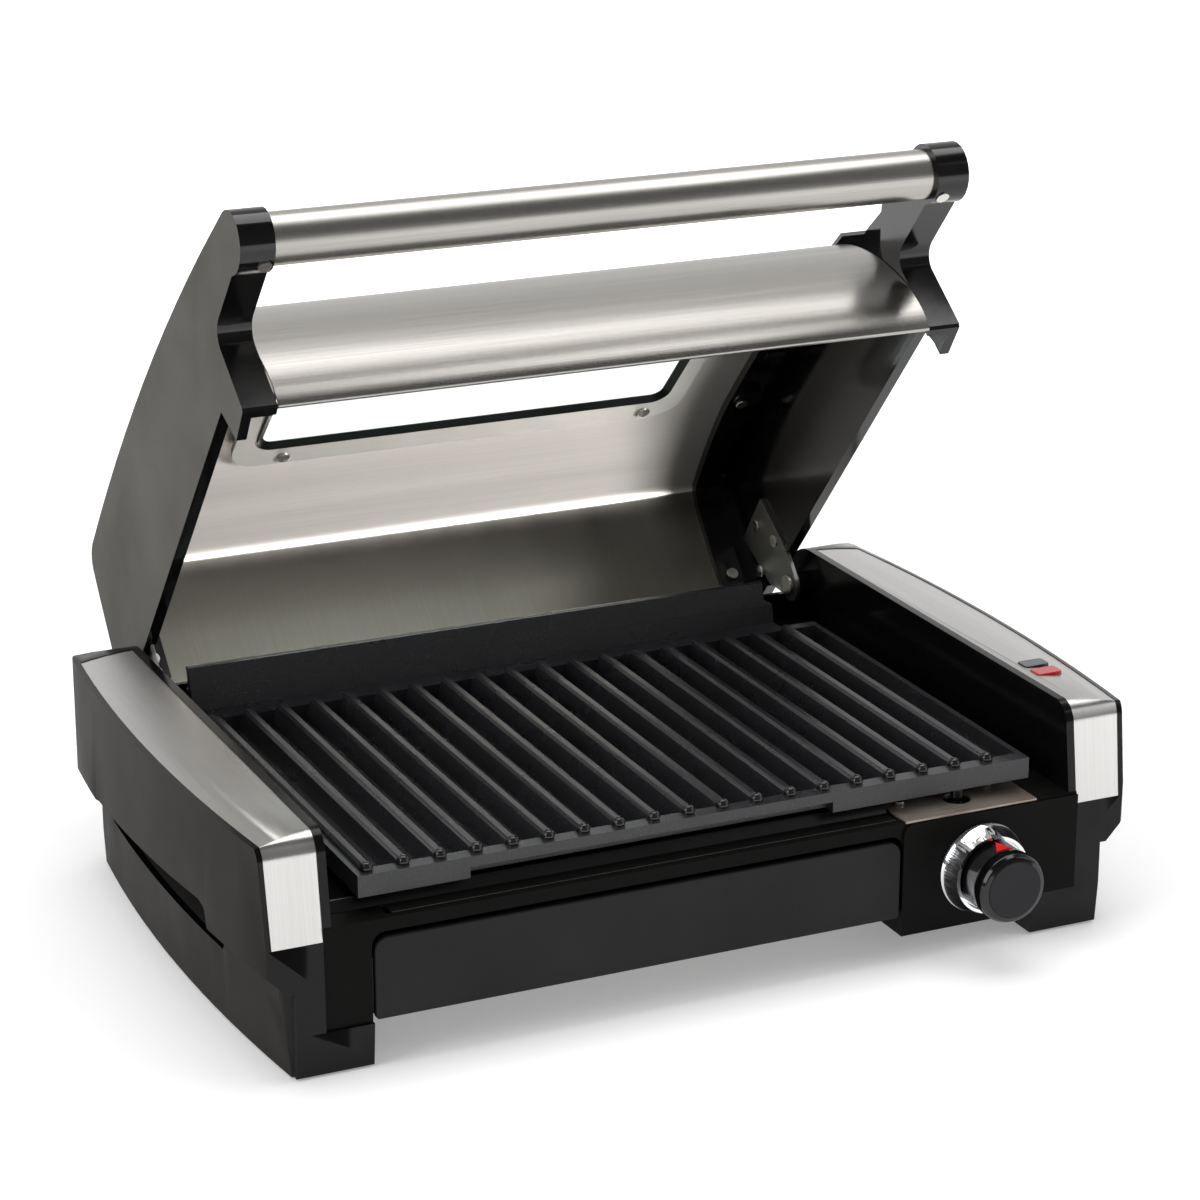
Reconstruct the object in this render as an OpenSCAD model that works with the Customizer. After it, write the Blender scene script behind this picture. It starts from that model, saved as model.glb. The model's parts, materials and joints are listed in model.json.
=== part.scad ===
// Electric indoor grill with a hinged lid, shown with the lid open.
// The origin is on the table under the middle of the base. X runs to the right, Y to the back.

/* [Base] */
// Width of one housing at its widest
housing_w = 37; // [34:0.5:42]
// Depth of the base
base_d = 271; // [268:1:276]
// Height of the base
base_h = 106.4; // [104:0.2:110]
// Clear width between the two housings
well_w = 351; // [349:0.5:353]
// Radius of the housings' bowed outer sides
bow_r = 1080; // [900:10:1400]
// Thickness of the black rim beside the steel strip
rim_w = 3.9; // [3.4:0.1:4.4]
// Wall of the side housings
housing_wall = 3.2; // [2.6:0.1:3.6]
// Height of the chamfer's upper edge on the housings
chamfer_z = 48.6; // [46:0.2:51]
// Height of the skirt below the hand slots
skirt_h = 35.4; // [33:0.2:37]
// How far the skirt stands in from the housing above it
skirt_in = 8.5; // [6:0.5:10]
// Height of the rubber feet below the housings
foot_gap = 1.2; // [0.8:0.1:2]
// Radius of a rubber foot
foot_r = 7; // [5:0.5:8]
// Height of the foot blocks under the frame
block_h = 20.5; // [19:0.5:21]
// Half distance between the foot blocks
block_x = 158; // [154:1:162]
// Height of the ledge in front of the plate
ledge_z = 66.2; // [65.6:0.1:67]

/* [Steel strips] */
// Thickness of the strips
strip_t = 1; // [0.8:0.1:1.2]
// Height at which the strips end on the front
strip_end_z = 60.4; // [56:0.5:66]
// Black border outside the strips
strip_border = 2.4; // [1.5:0.1:4]
// Depth of the base covered by the strips behind the middle
strip_back = 113.7; // [105:0.5:118]

/* [Lamps] */
// Length of a lamp lens across the strip
lens_l = 13; // [10:0.5:15]
// Width of a lamp lens
lens_w = 8.3; // [6:0.1:9.5]
// Distance between the two lamps
lens_pitch = 11; // [10:0.5:14]
// Distance of the lamps from the middle
lens_x = 191; // [190:0.5:192]
// Place of the red lamp in front of the middle
lens_y = -86.2; // [-95:0.2:-70]

/* [Plate] */
// Width of the plate
plate_w = 320; // [316:1:322]
// Front edge of the plate in front of the middle
plate_front = 124.1; // [123:0.1:125]
// Rear edge of the ribbed part behind the middle
plate_back = 78.4; // [76:0.2:80]
// Height of the plate's rim
plate_z = 82.1; // [81.8:0.1:82.3]
// Thickness of the plate's floor
plate_t = 2; // [1.6:0.1:2.4]
// Depth of the grooves below the rim
groove_d = 7.1; // [6.5:0.1:7.4]
// Number of ribs
rib_n = 19; // [17:1:19]
// Distance between ribs
rib_pitch = 16.4; // [16:0.1:16.6]
// Height of the ribs above the rim
rib_up = 2.7; // [2:0.1:2.8]
// Width of a rib at its top
rib_top = 3.4; // [2.5:0.1:4.5]
// Width of a rib at its foot
rib_foot = 9; // [7:0.2:10]
// Radius of the nubs at the front ends of the ribs
nub_r = 2.5; // [2:0.1:3]
// Height of the wall at the back of the plate
back_wall_z = 102; // [96:0.5:104]

/* [Tray] */
// Height of the tray's front panel
tray_front_h = 36.5; // [34:0.5:37.5]
// Width of the opening for the tray
bay_w = 248.9; // [240:0.5:249.4]
// Left side of the opening, from the middle
bay_left = 158.3; // [157:0.1:159]
// Depth of the tray behind its panel
tray_d = 215; // [180:1:225]
// Height of the tray's walls
tray_wall_h = 24; // [16:1:28]
// Running gap round the tray
tray_gap = 0.3; // [0.3:0.1:0.8]

/* [Knob] */
// Distance of the knob from the middle
knob_x = 130.1; // [127:0.2:133]
// Height of the knob
knob_z = 39.1; // [37.5:0.2:40.5]
// Radius of the knob's grip
knob_r = 15.5; // [14:0.1:16]
// How far the knob stands out from the frame
knob_out = 29; // [26:0.5:32]
// Radius of the chrome ring at the frame
bezel_r = 21; // [19.5:0.1:22.5]
// Depth of the chrome ring
bezel_d = 10.5; // [8:0.5:12]
// Radius of the knob's shaft
shaft_r = 3; // [2.5:0.1:3.5]

/* [Plate sensor] */
// Distance of the plunger from the middle
plunger_x = 125.7; // [122:0.2:129]
// Place of the plunger in front of the middle
plunger_y = -120; // [-121:0.2:-118.5]
// Radius of the plunger
plunger_r = 2.9; // [2.5:0.1:3.2]
// Travel of the plunger
plunger_travel = 3; // [2:0.5:3]

/* [Lid] */
// Gap between the lid's sides and the housings
lid_gap = 4; // [3.5:0.1:4.5]
// Wall of the lid's sides
lid_wall = 3; // [2.6:0.1:3]
// Length of the lid's side, from the foot of the arm to the back
lid_l = 240.5; // [238:0.5:243]
// Height of the lid at its highest
lid_h = 77.7; // [76:0.1:80]
// Radius of the lid's crown
crown_r = 1130; // [1000:10:1300]
// Place of the crown's highest line, behind the foot of the arm
crown_s = 180; // [176:1:184]
// Thickness of the lid's steel sheet
sheet_t = 0.8; // [0.6:0.1:1]
// Gap between the sheet's edge and the lid's side
sheet_gap = 0.3; // [0.2:0.1:0.6]
// Radius of the handle tube
handle_r = 11.3; // [10:0.1:12]
// Wall of the handle tube
handle_wall = 1.5; // [1:0.1:2.5]
// Opening angle at which the lid is shown
lid_open = 49.64; // [48:0.2:51]

/* [Window] */
// Half width of the glass that shows
glass_x = 108; // [90:1:112]
// Front edge of the glass that shows
glass_s0 = 46; // [42:1:56]
// Rear edge of the glass that shows
glass_s1 = 143; // [120:1:144]
// Width of the window frame's sides
frame_side = 10; // [8:0.5:13]
// Width of the window frame's rear bar
frame_rear = 14; // [14:1:22]
// Thickness of the glass
glass_t = 3; // [2.5:0.1:3.5]

/* [Hinge] */
// Height of the hinge above the table
hinge_z = 88.1; // [87.8:0.1:88.6]
// Place of the hinge behind the middle
hinge_y = 117.1; // [115:0.1:119]
// Distance of the hinge behind the foot of the arm
hinge_s = 201.66; // [200.6:0.1:202.6]
// Distance of the hinge below the lid's bottom edge
hinge_drop = 12.35; // [12:0.05:12.6]
// Radius of the hinge pins
pin_r = 3.5; // [3:0.1:4]
// Running clearance round pins, shafts and the plunger
fit = 0.05; // [0.02:0.01:0.08]

/* [Hidden] */
$fn = 64;
far = 400;               // longer than any cut
front = -base_d / 2;     // front of the base
back = base_d / 2;       // back of the base
well = well_w / 2;       // inner faces of the housings
side = well + housing_w; // outermost point of the housings
lid_x = well - lid_gap;  // outer faces of the lid's sides
seam = well + rim_w;     // inner edge of the steel strips
rim_round = 10.5;        // bend over the top front edge
front_lean = 6.2;        // how far the front leans back at the bend
strip_sink = 0.3;        // how far the strips lie below the rims
back_round = 21.8;       // rounding of the housings' back shoulder
crown_drop = 3.4;        // fall of the housings' tops to the outside
crown_w = 34;            // width over which they fall
skirt_foot_in = skirt_in + 2.5;
frame_t = 4;             // front wall of the frame
frame_front = front + 1.3;
frame_back = frame_front + frame_t;
bay_right = bay_w - bay_left;
bay_top = ledge_z - 5.8;
bay_round = 6;
wall_t = 3;              // inner walls of the frame
shelf_in = 150;          // inner edges of the side shelves
shelf_back = back - 7.5;
box_bottom = 12.6;       // underside of the control box
floor_z = 16.3;          // floor plates
floor_t = 1.2;
pan_z = 55;              // pan under the element
pan_t = 1;
box_back = -95;
bracket_z = ledge_z - 0.6;
bracket_t = 1;
knob_hole = 6;
plate_floor = plate_z - groove_d;
plate_under = plate_floor - plate_t;
pad_z = plate_under - 0.6;
plate_left = -plate_w / 2;
post_x = plate_w / 2 - 5.5;
ledge_back = -plate_front + 7.1; // back of the plate's front ledge
ridge_z = ledge_z + 4.6;         // top of the pan's front lip
lift_gap = 0.3;          // between the posts and the plate
post_r = 4.5;
tray_bottom = 24.2;
tray_t = 1.5;
arm_in = lid_x - 15.5;
side_in = lid_x - lid_wall;
hub_s = -69.6;
hub_h = 36.2;
hub_r = 13.7;
foot_s = -24;
foot_h = -16.6;
foot_bar = 5;            // front bar of the arm's foot
foot_wall = 4.5;         // its outer wall
sheet_sink = 1.2;        // how far the sheet lies below the sides' edges
flange_t = sheet_sink + sheet_t;
sheet_x = arm_in - 1 - sheet_gap;
rail_t = 4;
plate_hinge_t = 2;       // hinge plates
bend_r = 12;             // rear bend of the lid
bend_s = lid_l - 21.5;
sheet_fall = 7;          // how far the sheet leaves the crown at its bend
sheet_bend_r = 9.2;
sheet_bend_s = lid_l - 19.5;
fall_s0 = glass_s1 + frame_rear + 1;
back_lean = 1.8;         // lean of the lid's back below 28 mm
frame_ring_t = 2.5;
seam_gap = 0.1;          // between curved sheets laid on each other
frame_fore = 16;         // window frame in front of the glass that shows

// Points of an arc from angle a to angle b
function arc(x, y, r, a, b, n = 8) =
    [for (i = [0:n]) [x + r * cos(a + (b - a) * i / n), y + r * sin(a + (b - a) * i / n)]];
function bezier(p, t) = p[0] * pow(1 - t, 3) + p[1] * 3 * t * pow(1 - t, 2)
    + p[2] * 3 * t * t * (1 - t) + p[3] * pow(t, 3);
function flip(list) = [for (i = [len(list) - 1:-1:0]) list[i]];
// Where the bowed side stands at y
function bow_x(y) = side - bow_r + sqrt(bow_r * bow_r - y * y);
// Height of the lid's crown above its bottom edge
function crown(s) = lid_h - pow(crown_s - s, 2) / (2 * crown_r);

// How far the sheet has left the crown at s
function fall(s) = sheet_fall * pow(max(0, s - fall_s0) / (sheet_bend_s - fall_s0), 1.5);

module box(a, b) {
    translate(a) cube(b - a);
}

// Outlines of Y and Z, carried along X
module along_x(x0, x1) {
    translate([x0, 0, 0]) rotate([90, 0, 90]) linear_extrude(x1 - x0) children();
}

// Outlines of X and Z, carried along Y
module along_y(y0, y1) {
    translate([0, y1, 0]) rotate([90, 0, 0]) linear_extrude(y1 - y0) children();
}

module rod_x(x0, x1, y, z, r) {
    translate([x0, y, z]) rotate([0, 90, 0]) cylinder(r = r, h = x1 - x0);
}

module rod_y(y0, y1, x, z, r) {
    translate([x, y0, z]) rotate([-90, 0, 0]) cylinder(r = r, h = y1 - y0);
}

module rod_z(z0, z1, x, y, r) {
    translate([x, y, z0]) cylinder(r = r, h = z1 - z0);
}

module rounded_rect(x0, y0, x1, y1, r) {
    polygon(concat(arc(x1 - r, y0 + r, r, -90, 0, 4), arc(x1 - r, y1 - r, r, 0, 90, 4),
        arc(x0 + r, y1 - r, r, 90, 180, 4), arc(x0 + r, y0 + r, r, 180, 270, 4)));
}

module both_sides() {
    children();
    mirror([1, 0, 0]) children();
}

// Side view of a housing, drawn in by w all round
module housing_side(w) {
    lean_y = front + front_lean;
    floor_z = -1;
    polygon(concat(
        [[front + 1.8 + w, floor_z], [front + w, block_h], [front + 0.1 + w, 38],
            [front + 1.1 + w, strip_end_z]],
        arc(lean_y + rim_round, base_h - rim_round, rim_round - w, 180, 90),
        arc(back - back_round, base_h - back_round, back_round - w, 90, 0),
        [[back - w, chamfer_z], [back - 7 - w, chamfer_z - 8.8], [back - 7 - w, floor_z]]));
}

// Plan of a housing, with its rounded outer corners, drawn in by w
module housing_plan(w) {
    front_r = 4;
    back_r = 20;
    poke = 0.4;
    xf = bow_x(front + front_r) - w + poke;
    xb = bow_x(back - back_r) - w + poke;
    polygon(concat([[0, front - 1], [xf - front_r, front - 1]],
        arc(xf - front_r, front + w / 2 + front_r, front_r, -90, 0, 4),
        [[side + 2, front + w / 2 + front_r], [side + 2, back - w - back_r]],
        arc(xb - back_r, back - w - back_r, back_r, 0, 90), [[0, back - w]]));
}

// Bowed outer side with its chamfer and skirt, and the crowned top, drawn in by w
module housing_bow(w) {
    reach = 12;
    translate([side - bow_r, 0, 0]) rotate([0, 0, -reach])
        rotate_extrude(angle = 2 * reach, $fn = 720)
            polygon(concat(
                [[bow_r - 90, -5], [bow_r - skirt_foot_in - w, -5],
                    [bow_r - skirt_foot_in - w, foot_gap], [bow_r - skirt_in - w, skirt_h],
                    [bow_r - skirt_in - w, chamfer_z - 8.8], [bow_r - w, chamfer_z]],
                [for (i = [0:5]) let (d = crown_w - w - (crown_w - w) * i / 5)
                    [bow_r - crown_w + d, base_h - w - crown_drop * pow(d / crown_w, 2)]],
                [[bow_r - 90, base_h - w]]));
}

module housing_block(w) {
    intersection() {
        along_x(0, side + 5) housing_side(w);
        housing_bow(w);
        union() {
            translate([0, 0, chamfer_z - 8.8]) linear_extrude(far) housing_plan(w);
            translate([0, 0, -1]) linear_extrude(chamfer_z - 7.8) housing_plan(w + skirt_in);
        }
    }
}

// Space over the top and the front where a strip lies
module strip_zone(w) {
    intersection() {
        box([seam, front - 5, strip_end_z], [side + 5, strip_back, base_h + 5]);
        housing_bow_inside(strip_border, w);
    }
}

// Everything inside the bowed side, drawn in by border
module housing_bow_inside(border, w) {
    reach = 12;
    translate([side - bow_r, 0, strip_end_z - 10]) rotate([0, 0, -reach])
        rotate_extrude(angle = 2 * reach, $fn = 720)
            translate([bow_r - 90 - border - w, 0]) square([90, base_h]);
}

// Outline of the hand slot
module hand_slot_shape() {
    z = skirt_h + 0.4;
    polygon([[-72, z], [-77, 46], [-74, 57], [-68, 59], [80, 50], [84, 46], [84, z]]);
}

module lens_shape(n, grow = 0) {
    y = lens_y + n * lens_pitch;
    rounded_rect(lens_x - lens_l / 2 - grow, y - lens_w / 2 - grow,
        lens_x + lens_l / 2 + grow, y + lens_w / 2 + grow, 1.8);
}

module lens_holes() {
    for (n = [0, 1])
        translate([0, 0, base_h - 12]) linear_extrude(20) lens_shape(n, 0.15);
}

module housing() {
    block_front = 32;
    block_rear = 26;
    difference() {
        intersection() {
            housing_block(0);
            union() {
                box([well, -far, foot_gap], [far, far, far]);
                box([block_x, -far, foot_gap], [far, front + block_front, block_h]);
                box([block_x, back - 7 - block_rear, foot_gap], [far, far, block_h]);
            }
        }
        difference() {
            strip_zone(0);
            housing_block(strip_sink + strip_t);
        }
        intersection() {
            housing_block(housing_wall);
            box([seam, -far, -1], [far, far, far]);
        }
        along_x(seam + 1, far) hand_slot_shape();
        box([well - 1, -far, block_h], [seam, frame_back, ledge_z]);
        rod_x(well - 1, seam + 1, hinge_y, hinge_z, pin_r + 0.01);
        for (y = [front + 16, back - 20])
            rod_z(0, block_h + 1, block_x + 10, y, 2);
    }
}

module strip() {
    intersection() {
        strip_zone(0.1);
        difference() {
            housing_block(strip_sink);
            housing_block(strip_sink + strip_t);
        }
    }
}

module left_housing() {
    color([0.12, 0.12, 0.13]) mirror([1, 0, 0]) housing();
}

module right_housing() {
    color([0.12, 0.12, 0.13]) difference() {
        housing();
        lens_holes();
    }
}

module left_strip() {
    color([0.78, 0.77, 0.75]) mirror([1, 0, 0]) strip();
}

module right_strip() {
    color([0.78, 0.77, 0.75]) difference() {
        strip();
        lens_holes();
    }
}

module rubber_feet() {
    color([0.1, 0.1, 0.1]) both_sides()
        for (y = [front + 16, back - 20])
            rod_z(0, foot_gap, block_x + 10, y, foot_r);
}

module lens(n) {
    translate([0, 0, base_h - 7]) linear_extrude(7) lens_shape(n);
}

module power_lens() {
    color([0.75, 0.05, 0.05]) lens(0);
}

module ready_lens() {
    color([0.05, 0.12, 0.16]) lens(1);
}

module lamp_holders() {
    color([0.85, 0.85, 0.8])
        for (n = [0, 1]) {
            y = lens_y + n * lens_pitch;
            box([lens_x - 4, y - 3, base_h - 24], [lens_x + 4, y + 3, base_h - 7]);
        }
}

// Front wall with the opening for the tray
module frame_front_shape() {
    r = bay_round;
    polygon(concat(
        [[-seam, block_h], [-bay_left, block_h]],
        arc(-bay_left + r, bay_top - r, r, 180, 90, 5),
        arc(bay_right - r, bay_top - r, r, 90, 0, 5),
        [[bay_right, box_bottom], [154, box_bottom], [block_x, block_h], [seam, block_h],
            [seam, ledge_z], [bay_right + 68, ledge_z], [bay_right + 68, bracket_z],
            [bay_right + 1, bracket_z], [bay_right + 1, ledge_z], [-seam, ledge_z]]));
}

// The control box stands a little forward of the rest
module control_face_shape() {
    r = 5;
    polygon(concat([[bay_right, box_bottom], [154, box_bottom], [block_x, block_h],
        [seam, block_h], [seam, bracket_z - 0.4]],
        arc(bay_right + r, bracket_z - 0.4 - r, r, 90, 180, 5)));
}

module base_frame() {
    color([0.16, 0.15, 0.14]) difference() {
        union() {
            along_y(frame_front, frame_back) frame_front_shape();
            along_y(front, frame_front) control_face_shape();
            // side shelves, with a turned-down inner edge
            for (s = [-1, 1])
                box([s > 0 ? shelf_in : -well, frame_back, ledge_z - wall_t],
                    [s > 0 ? well : -shelf_in, shelf_back, ledge_z]);
            // walls of the tray's bay
            box([-bay_left - wall_t, frame_back, block_h], [-bay_left, back - 20, ledge_z - wall_t]);
            box([bay_right, frame_back, box_bottom], [bay_right + wall_t, box_back, ledge_z - wall_t]);
            box([bay_right, box_back - 1, box_bottom], [bay_right + wall_t, back - 20, pan_z - 0.2]);
            // runners under the tray
            box([-bay_left, frame_back + 1, tray_bottom - tray_gap - 2],
                [-bay_left + 9, back - 20, tray_bottom - tray_gap]);
            box([bay_right - 9, frame_back + 1, tray_bottom - tray_gap - 2],
                [bay_right, back - 20, tray_bottom - tray_gap]);
            // cross member behind the tray
            box([-block_x + 0.3, back - 23, floor_z + floor_t],
                [bay_right + wall_t, back - 20, ledge_z - wall_t]);
            // top and back of the control box
            box([bay_right, frame_back, bracket_z - 3.6], [shelf_in, box_back, bracket_z]);
            box([bay_right + wall_t, box_back - wall_t, box_bottom], [154, box_back, bracket_z - 3.6]);
            // posts under the plate's corners
            for (x = [-post_x, post_x])
                for (y = [-100, 55])
                    rod_z(ledge_z - 1, plate_under - lift_gap, x, y, post_r);
            // cross member that carries the pan
            box([-shelf_in, back - 26, ledge_z - wall_t], [shelf_in, shelf_back, ledge_z]);
        }
        rod_y(front - 1, frame_back + 1, knob_x, knob_z, knob_hole);
        box([bay_right + 1, frame_back - 1, bracket_z], [bay_right + 68, front + 28.2, far]);
        rod_z(bracket_z - 5, bracket_z + 1, plunger_x, plunger_y, 10);
        for (p = bracket_holes)
            rod_z(bracket_z - 5, bracket_z + 1, p[0], p[1], 1.45);
    }
}

bracket_holes = [[99.5, -113.9], [146.1, -110.5]];

module bottom_plate() {
    color([0.3, 0.3, 0.3]) difference() {
        union() {
            box([-block_x + 0.3, -115, floor_z], [bay_right, back - 20, floor_z + floor_t]);
            box([bay_right + wall_t, box_back, floor_z], [block_x - 1, back - 34, floor_z + floor_t]);
        }
        for (x = [-120:20:60])
            translate([0, 0, floor_z - 1]) linear_extrude(4) rounded_rect(x, 60, x + 3.6, 90, 1.5);
    }
}

module rear_panel() {
    color([0.13, 0.13, 0.13]) difference() {
        box([-well, shelf_back, 14], [well, shelf_back + 3, 80]);
        for (x = [-110:12:110])
            box([x, shelf_back - 1, 44], [x + 3.6, shelf_back + 4, 58]);
        rod_y(shelf_back - 1, shelf_back + 4, gland_x, gland_z, 7.05);
    }
}
gland_x = 158;
gland_z = 32;

module control_cover() {
    color([0.2, 0.2, 0.2]) box([bay_right + wall_t, frame_back, box_bottom + 0.4],
        [150, box_back - wall_t, box_bottom + 2]);
}

module sensor_bracket() {
    color([0.6, 0.56, 0.52]) difference() {
        box([bay_right + 1.2, front + 1, bracket_z], [bay_right + 67.8, front + 28, bracket_z + bracket_t]);
        rod_z(bracket_z - 1, bracket_z + 3, plunger_x, plunger_y, 6.35);
        for (p = bracket_holes)
            rod_z(bracket_z - 5, bracket_z + 3, p[0], p[1], 1.45);
    }
}

module bracket_screws() {
    color([0.8, 0.8, 0.8]) for (p = bracket_holes) {
        rod_z(bracket_z + bracket_t, bracket_z + bracket_t + 1.6, p[0], p[1], 3);
        rod_z(bracket_z - 6, bracket_z + bracket_t, p[0], p[1], 1.4);
    }
}

collar_t = 1.3;
guide_bottom = bracket_z - 4;
plunger_top = pad_z - lift_gap;
collar_z = guide_bottom - lift_gap - collar_t;
thermostat_top = collar_z - 5.7;

module plunger_guide() {
    color([0.1, 0.1, 0.1]) difference() {
        union() {
            rod_z(guide_bottom, bracket_z, plunger_x, plunger_y, 6.2);
            rod_z(bracket_z - 1.5, bracket_z, plunger_x, plunger_y, 9.9);
        }
        rod_z(guide_bottom - 1, bracket_z + 1, plunger_x, plunger_y, plunger_r + fit);
    }
}

module sensor_plunger() {
    color([0.08, 0.08, 0.08]) {
        rod_z(collar_z, plunger_top, plunger_x, plunger_y, plunger_r);
        rod_z(collar_z, collar_z + collar_t, plunger_x, plunger_y, plunger_r + 1.7);
    }
}

module plunger_spring() {
    color([0.7, 0.7, 0.7]) difference() {
        rod_z(thermostat_top, collar_z, plunger_x, plunger_y, plunger_r + 1.4);
        rod_z(thermostat_top - 1, collar_z + 1, plunger_x, plunger_y, plunger_r + 0.6);
    }
}

module thermostat_body() {
    color([0.85, 0.82, 0.75]) difference() {
        box([knob_x - 18, frame_back, 24], [knob_x + 18, box_back - wall_t - 4, thermostat_top]);
        rod_y(frame_back - 1, frame_back + 22, knob_x, knob_z, shaft_r + fit);
    }
}

// Outline turned about the knob's axis; the height is the distance out from the frame
module knob_turned(points) {
    translate([knob_x, front, knob_z]) rotate([90, 0, 0]) rotate_extrude() polygon(points);
}

module knob_bezel() {
    inner = knob_r + 1.2;
    color([0.9, 0.9, 0.9]) difference() {
        knob_turned([[shaft_r + 4, 0], [bezel_r, 0], [bezel_r, 1.2], [bezel_r - 0.8, 2],
            [inner + 1.4, bezel_d], [inner, bezel_d], [inner, 2], [shaft_r + 4, 2]]);
        translate([knob_x, front - bezel_d, knob_z + inner + 1])
            rotate([0, 45, 0]) cube([2.4, 4, 2.4], center = true);
    }
}

knob_start = 3;

module knob() {
    color([0.05, 0.05, 0.05])
        knob_turned([[shaft_r + 0.02, knob_start + 6], [6.5, knob_start + 6], [6.5, knob_out - 5],
            [knob_r - 2, knob_out - 5], [knob_r - 2, knob_start], [knob_r, knob_start],
            [knob_r, knob_out - 9], [knob_r + 0.7, knob_out - 7.5], [knob_r + 0.7, knob_out - 2.5],
            [knob_r - 0.4, knob_out - 0.8], [knob_r - 2.6, knob_out], [knob_r - 2.6, knob_out - 1],
            [shaft_r + 0.02, knob_out - 1]]);
}

module knob_cap() {
    color([0.2, 0.2, 0.22])
        knob_turned([[0, knob_out - 1], [knob_r - 2.6, knob_out - 1], [knob_r - 2.6, knob_out],
            [0, knob_out]]);
}

module knob_pointer() {
    color([0.8, 0.1, 0.08]) difference() {
        translate([knob_x, front, knob_z]) rotate([90, 0, 0])
            intersection() {
                difference() {
                    cylinder(r = knob_r + 0.5, h = knob_out);
                    translate([0, 0, -1]) cylinder(r = knob_r, h = knob_out + 2);
                }
                rotate([-90, 0, 0]) translate([0, 0, -far / 2]) linear_extrude(far)
                    polygon([[0, -bezel_d - 0.8], [-4.2, -knob_out + 9.4], [4.2, -knob_out + 9.4]]);
                translate([-10, 0, 0]) cube([20, far, far]);
            }
    }
}

module knob_shaft() {
    color([0.75, 0.75, 0.75]) rod_y(front - knob_out + 1.2, frame_back + 21, knob_x, knob_z, shaft_r);
}

element_r = 3.5;
element_z = plate_under - lift_gap - element_r;
element_rows = [-80, -40, 0, 40];
element_x = 110;
element_end = 146;

module element_bend(x, y, dir) {
    translate([x, y, element_z]) rotate([0, 0, dir > 0 ? -90 : 90])
        rotate_extrude(angle = 180) translate([20, 0]) circle(r = element_r, $fn = 32);
}

module heating_element() {
    rows = element_rows;
    color([0.35, 0.33, 0.32]) {
        rod_x(-element_x, element_end, rows[0], element_z, element_r);
        rod_x(-element_x, element_x, rows[1], element_z, element_r);
        rod_x(-element_x, element_x, rows[2], element_z, element_r);
        rod_x(-element_x, element_end, rows[3], element_z, element_r);
        element_bend(-element_x, (rows[0] + rows[1]) / 2, -1);
        element_bend(element_x, (rows[1] + rows[2]) / 2, 1);
        element_bend(-element_x, (rows[2] + rows[3]) / 2, -1);
    }
}

module element_clips() {
    color([0.6, 0.6, 0.6])
        for (x = [-80, 80])
            for (y = element_rows)
                difference() {
                    box([x - 3, y - 6, pan_z + pan_t], [x + 3, y + 6, element_z]);
                    rod_x(x - 4, x + 4, y, element_z, element_r + 0.1);
                }
}

module element_terminals() {
    color([0.9, 0.88, 0.82])
        for (y = [element_rows[0], element_rows[3]])
            rod_x(element_end, element_end + 8, y, element_z, 3);
}

// Dark pan under the element, with a flange that slopes up in front of it
module heat_shield() {
    pan_front = box_back + 3;
    pan_back = 62;
    pan_x = shelf_in - 2;
    color([0.07, 0.07, 0.07]) difference() {
        union() {
            difference() {
                box([-pan_x, pan_front, pan_z], [pan_x, pan_back, ledge_z]);
                box([-pan_x + pan_t, pan_front + pan_t, pan_z + pan_t],
                    [pan_x - pan_t, pan_back - pan_t, ledge_z + 1]);
                // opening over the tray
                box([-70, -30, pan_z - 1], [60, 30, pan_z + 2]);
            }
            along_x(-pan_x, pan_x)
                polygon([[pan_back - pan_t, ledge_z], [back - 16, ledge_z],
                    [back - 16, ledge_z + pan_t], [pan_back - pan_t, ledge_z + pan_t]]);
            along_x(-well + 3, bay_right - 1)
                polygon([[frame_back + 0.5, ledge_z - 1], [pan_front + pan_t, ledge_z - 1],
                    [pan_front + pan_t, ledge_z], [ledge_back + 3.4, ledge_z], [ledge_back, ridge_z],
                    [ledge_back - 1, ridge_z], [ledge_back - 4.5, ledge_z],
                    [frame_back + 0.5, ledge_z]]);
        }
        for (s = [-1, 1])
            box([s > 0 ? shelf_in - 2.5 : -well, frame_back - 1, ledge_z - 4],
                [s > 0 ? well : -shelf_in + 2.5, -122.2, ledge_z]);
        box([-well, -122.2, ledge_z - 4], [-shelf_in, 0, ledge_z]);
        box([bay_right - 0.2, -far, ledge_z - 4], [far, box_back, ledge_z + 9]);
        box([element_x, element_rows[0] - 5, element_z - 5], [far, element_rows[0] + 5, far]);
        box([element_x, element_rows[3] - 5, element_z - 5], [far, element_rows[3] + 5, far]);
    }
}

module terminal_block() {
    color([0.9, 0.9, 0.86]) box([115, back - 40, 22], [150, shelf_back, 40]);
}

module lead_wires() {
    color([0.6, 0.3, 0.1])
        for (x = [120, 132, 144])
            rod_y(box_back, back - 40, x, 30, 1.3);
}

module cord_gland() {
    color([0.07, 0.07, 0.07]) difference() {
        union() {
            rod_y(shelf_back, shelf_back + 3, gland_x, gland_z, 7);
            rod_y(shelf_back + 3, shelf_back + 9, gland_x, gland_z, 8.5);
        }
        rod_y(shelf_back - 1, shelf_back + 10, gland_x, gland_z, 3.7);
    }
}

module base_screws() {
    color([0.7, 0.7, 0.7]) both_sides()
        for (y = [front + 16, back - 20])
            rod_z(foot_gap, block_h + 8, block_x + 10, y, 1.9);
}

module hinge_pins() {
    color([0.8, 0.8, 0.8]) both_sides() {
        rod_x(side_in - plate_hinge_t - 0.3, seam + 0.5, hinge_y, hinge_z, pin_r);
        rod_x(side_in - plate_hinge_t - 2.1, side_in - plate_hinge_t - 0.3, hinge_y, hinge_z, pin_r + 2);
    }
}

module hinge_bushes() {
    color([0.15, 0.15, 0.15]) both_sides() difference() {
        rod_x(side_in + 0.3, well, hinge_y, hinge_z, pin_r + 2.5);
        rod_x(side_in - 1, well + 1, hinge_y, hinge_z, pin_r + 0.02);
    }
}

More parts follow.
